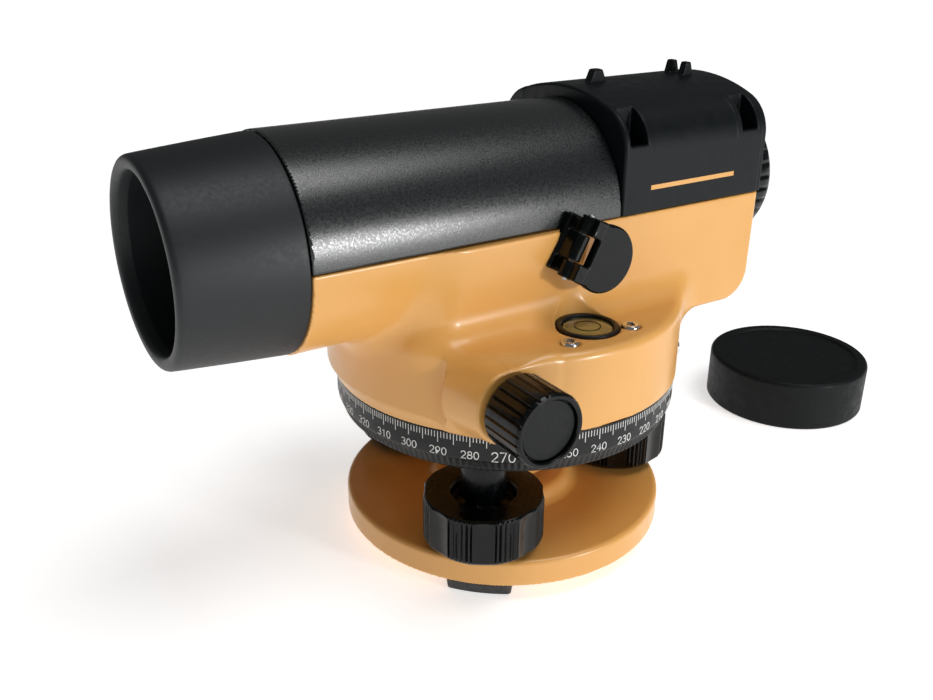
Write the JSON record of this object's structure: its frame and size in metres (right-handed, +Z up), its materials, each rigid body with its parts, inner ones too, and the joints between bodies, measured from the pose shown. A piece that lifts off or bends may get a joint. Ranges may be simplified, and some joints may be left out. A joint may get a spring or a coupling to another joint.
{
  "type": "automatic level",
  "caption": "Self-levelling surveying telescope on a three-screw levelling base, with degree ring, circular vial, bubble mirror and a lens cap beside it.",
  "frame": {"origin": "on the vertical axis of the instrument, in the plane of the feet, at the mouth of the tripod thread", "axes": "+Z up along the vertical axis; the telescope lies along X with the objective towards -X and the eyepiece towards +X; the circular vial is on the -Y side"},
  "size_m": [0.3017, 0.1354, 0.149],
  "materials": {
    "orange_paint": "satin",
    "black_textured_paint": "textured",
    "satin_black_plastic": "satin",
    "gloss_black_plastic": "gloss",
    "satin_disc": "satin",
    "degree_ring_black": "satin",
    "hood_rubber": "matte",
    "cap_plastic": "matte",
    "foot_black": "matte",
    "vial_frame": "satin",
    "vial_fluid": "polished",
    "optical_glass": "polished",
    "mirror_silver": "polished",
    "steel": "machined",
    "black_screws": "satin",
    "chrome_screws": "polished",
    "brass": "machined",
    "black_anodised": "anodised",
    "aluminium": "machined"
  },
  "bodies": {
    "base": {"foot_plate": "foot_black", "base_plate": "orange_paint", "tripod_thread_insert": "brass"},
    "foot_screw_front": {"foot_screw_spindle_front": "steel", "foot_screw_knob_front": "gloss_black_plastic"},
    "foot_screw_right": {"foot_screw_spindle_right": "steel", "foot_screw_knob_right": "gloss_black_plastic"},
    "foot_screw_left": {"foot_screw_spindle_left": "steel", "foot_screw_knob_left": "gloss_black_plastic"},
    "tribrach": {"tribrach_body": "orange_paint", "foot_screw_sleeve_front": "gloss_black_plastic", "foot_screw_sleeve_right": "gloss_black_plastic", "foot_screw_sleeve_left": "gloss_black_plastic", "axis_bush": "brass", "clutch_washer": "steel"},
    "scale": {"degree_ring": "degree_ring_black"},
    "wheel": {"worm_wheel": "brass"},
    "alidade": {"main_housing": "orange_paint", "vertical_spindle": "steel", "drum_side_screw": "chrome_screws", "worm_bush_left": "brass", "worm_bush_right": "brass", "tube_top_shell": "black_textured_paint", "rear_cover": "satin_black_plastic", "cover_screw_front_left": "black_screws", "cover_screw_front_right": "black_screws", "cover_screw_rear_left": "black_screws", "cover_screw_rear_right": "black_screws", "objective_hood": "hood_rubber", "objective_cell": "black_anodised", "objective_crown_lens": "optical_glass", "objective_flint_lens": "optical_glass", "compensator_frame": "aluminium", "eyepiece_tube": "black_anodised", "reticle_ring": "brass", "reticle_glass": "optical_glass", "circular_vial_ring": "vial_frame", "circular_vial_glass": "vial_fluid", "vial_adjusting_screw_1": "chrome_screws", "vial_adjusting_screw_2": "chrome_screws", "vial_adjusting_screw_3": "chrome_screws", "mirror_bracket": "gloss_black_plastic", "mirror_hinge_pin": "steel"},
    "tangent_drive": {"worm_shaft": "steel", "tangent_knob_left": "gloss_black_plastic", "tangent_knob_right": "gloss_black_plastic", "tangent_knob_cap_left": "satin_disc", "tangent_knob_cap_right": "satin_disc"},
    "focus_drive": {"focus_pinion_shaft": "steel", "focus_knob": "gloss_black_plastic"},
    "focus_carriage": {"focusing_lens_cell": "aluminium", "focusing_lens": "optical_glass"},
    "eyepiece_focus": {"eyepiece_ring": "gloss_black_plastic"},
    "ocular": {"ocular_cell": "black_anodised", "ocular_lens": "optical_glass"},
    "pendulum": {"compensator_pendulum": "brass", "pendulum_prism": "optical_glass"},
    "mirror": {"mirror_flap": "gloss_black_plastic", "mirror_glass": "mirror_silver"},
    "cap": {"lens_cap": "cap_plastic"}
  },
  "joints": [
    {"name": "foot_screw_front_turn", "type": "hinge", "parent": "base", "child": "foot_screw_front", "pos_m": [-0.02864, -0.03072, 0.0106], "axis": [0, 0, 1], "range_deg": [-782.3, 782.3]},
    {"name": "foot_screw_right_turn", "type": "hinge", "parent": "base", "child": "foot_screw_right", "pos_m": [0.04092, -0.00945, 0.0106], "axis": [0, 0, 1], "range_deg": [-782.3, 782.3]},
    {"name": "foot_screw_left_turn", "type": "hinge", "parent": "base", "child": "foot_screw_left", "pos_m": [-0.01228, 0.04016, 0.0106], "axis": [0, 0, 1], "range_deg": [-782.3, 782.3]},
    {"name": "tribrach_tilt", "type": "hinge", "parent": "base", "child": "tribrach", "pos_m": [0.01432, 0.01536, 0.0106], "axis": [-0.7314, 0.682, 0], "range_deg": [-1.49, 1.49]},
    {"name": "degree_ring_turn", "type": "hinge", "parent": "tribrach", "child": "scale", "pos_m": [0, 0, 0.052], "axis": [0, 0, 1], "continuous": true},
    {"name": "coarse_turn", "type": "hinge", "parent": "tribrach", "child": "wheel", "pos_m": [0, 0, 0.07], "axis": [0, 0, 1], "continuous": true},
    {"name": "fine_turn", "type": "hinge", "parent": "wheel", "child": "alidade", "pos_m": [0, 0, 0.07], "axis": [0, 0, 1], "continuous": true},
    {"name": "tangent_knob_turn", "type": "hinge", "parent": "alidade", "child": "tangent_drive", "pos_m": [-0.0332, 0, 0.0707], "axis": [0, 1, 0], "continuous": true},
    {"name": "focus_knob_turn", "type": "hinge", "parent": "alidade", "child": "focus_drive", "pos_m": [0.012, 0, 0.0975], "axis": [0, 1, 0], "range_deg": [-165, 165]},
    {"name": "focusing_lens_travel", "type": "slide", "parent": "alidade", "child": "focus_carriage", "axis": [1, 0, 0], "range_m": [-0.008, 0.008]},
    {"name": "eyepiece_turn", "type": "hinge", "parent": "alidade", "child": "eyepiece_focus", "pos_m": [0.085, 0, 0.1107], "axis": [1, 0, 0], "range_deg": [-180, 180]},
    {"name": "ocular_travel", "type": "slide", "parent": "alidade", "child": "ocular", "axis": [1, 0, 0], "range_m": [-0.002, 0.002]},
    {"name": "pendulum_swing", "type": "hinge", "parent": "alidade", "child": "pendulum", "pos_m": [0.053, 0, 0.126], "axis": [0, 1, 0], "range_deg": [-1, 1]},
    {"name": "mirror_turn", "type": "hinge", "parent": "alidade", "child": "mirror", "pos_m": [-0.00265, -0.0375, 0.107], "axis": [0.4695, 0, 0.8829], "range_deg": [-70, 5]},
    {"name": "lens_cap_lift", "type": "slide", "parent": "base", "child": "cap", "axis": [0, 0, 1], "range_m": [0, 0.15]}
  ],
  "couplings": [
    {"joint": "tribrach_tilt", "follows": "foot_screw_front_turn", "ratio": -0.0018947},
    {"joint": "tangent_knob_turn", "follows": "fine_turn", "ratio": 36},
    {"joint": "focusing_lens_travel", "follows": "focus_knob_turn", "m_per_rad": 0.00275},
    {"joint": "ocular_travel", "follows": "eyepiece_turn", "m_per_rad": 0.00063}
  ]
}
